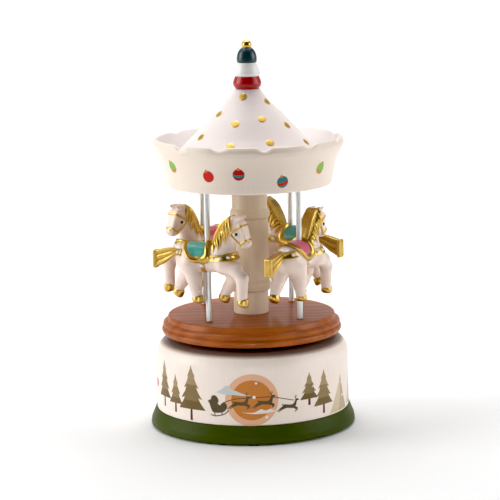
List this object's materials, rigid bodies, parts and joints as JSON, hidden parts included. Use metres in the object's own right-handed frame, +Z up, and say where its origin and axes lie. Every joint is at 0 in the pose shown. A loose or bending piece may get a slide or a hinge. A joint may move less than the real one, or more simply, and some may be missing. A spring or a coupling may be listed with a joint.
{
  "type": "carousel music box",
  "caption": "Turned wooden drum with a pinned-cylinder movement inside; its arbor slowly turns a platform of horses on poles under a domed canopy with a ball finial.",
  "frame": {"origin": "centre of the underside, on the vertical axis, at the bottom of the felt pads", "axes": "+Z up along the turning axis, front (the sleigh scene) towards -Y, +X to the viewer's right"},
  "size_m": [0.11, 0.11, 0.2062],
  "materials": {
    "green_paint": "satin green paint on turned wood",
    "cream_paint": "satin cream lacquer on turned wood",
    "plywood": "plain plywood",
    "steel_screw": "zinc plated",
    "felt": "dark felt",
    "plate_steel": "nickel plated",
    "movement_brass": "polished",
    "spring_steel": "blued spring steel",
    "pin_steel": "ground steel",
    "nylon": "white nylon",
    "table_wood": "satin varnished light brown wood",
    "dowel_wood": "bare beech",
    "red_paint": "gloss red paint on turned wood",
    "white_paint": "satin white paint on turned wood",
    "teal_paint": "gloss dark teal paint on turned wood",
    "gold_paint": "gold plated bead",
    "pole_steel": "plated rod",
    "horse_paint": "cast resin painted cream with gold, teal and pink trim"
  },
  "bodies": {
    "base": {"foot_ring": "green_paint", "base_drum": "cream_paint", "bottom_cover": "plywood", "cover_screws": "steel_screw", "felt_pads": "felt", "movement_bedplate": "plate_steel", "bedplate_screws": "steel_screw", "spring_housing": "movement_brass", "spring_housing_cap": "movement_brass", "housing_nuts": "steel_screw", "mainspring": "spring_steel", "arbor_bush": "movement_brass", "thrust_washer": "nylon", "cylinder_bracket_inner": "plate_steel", "cylinder_bracket_outer": "plate_steel", "comb": "pin_steel", "comb_screws": "steel_screw", "governor_bracket": "plate_steel"},
    "carousel": {"winding_arbor": "pin_steel", "drive_gear": "movement_brass", "clutch_spring": "spring_steel", "hub_flange": "plate_steel", "hub_screws": "steel_screw", "turntable": "table_wood", "column": "cream_paint", "column_dowel": "dowel_wood", "canopy_dowel": "dowel_wood", "canopy_bowl": "cream_paint", "canopy_cone": "cream_paint", "finial_dowel": "dowel_wood", "finial_base": "red_paint", "finial_bell": "white_paint", "finial_cap": "teal_paint", "finial_ball": "gold_paint", "pole_1": "pole_steel", "pole_2": "pole_steel", "pole_3": "pole_steel", "pole_4": "pole_steel", "horse_1": "horse_paint", "horse_2": "horse_paint", "horse_3": "horse_paint", "horse_4": "horse_paint"},
    "cylinder": {"cylinder": "movement_brass", "cylinder_arbor": "pin_steel", "cylinder_pinion": "movement_brass", "cylinder_wheel": "movement_brass"},
    "idler": {"idler_arbor": "pin_steel", "idler_pinion": "movement_brass", "worm_wheel": "nylon"},
    "governor": {"governor_shaft": "pin_steel", "governor_worm": "nylon", "governor_fly": "nylon"}
  },
  "joints": [
    {"name": "carousel_spin", "type": "hinge", "parent": "base", "child": "carousel", "pos_m": [0, 0, 0.048], "axis": [0, 0, 1], "continuous": true},
    {"name": "cylinder_spin", "type": "hinge", "parent": "base", "child": "cylinder", "pos_m": [0.0233, 0, 0.0303], "axis": [1, 0, 0], "continuous": true},
    {"name": "idler_spin", "type": "hinge", "parent": "base", "child": "idler", "pos_m": [0.0355, -0.00822, 0.02731], "axis": [1, 0, 0], "continuous": true},
    {"name": "governor_spin", "type": "hinge", "parent": "base", "child": "governor", "pos_m": [0.0362, -0.01462, 0.017], "axis": [0, 0, 1], "continuous": true}
  ],
  "couplings": [
    {"joint": "cylinder_spin", "follows": "carousel_spin", "ratio": -3.3333},
    {"joint": "idler_spin", "follows": "carousel_spin", "ratio": 13.333},
    {"joint": "governor_spin", "follows": "carousel_spin", "ratio": 320}
  ]
}
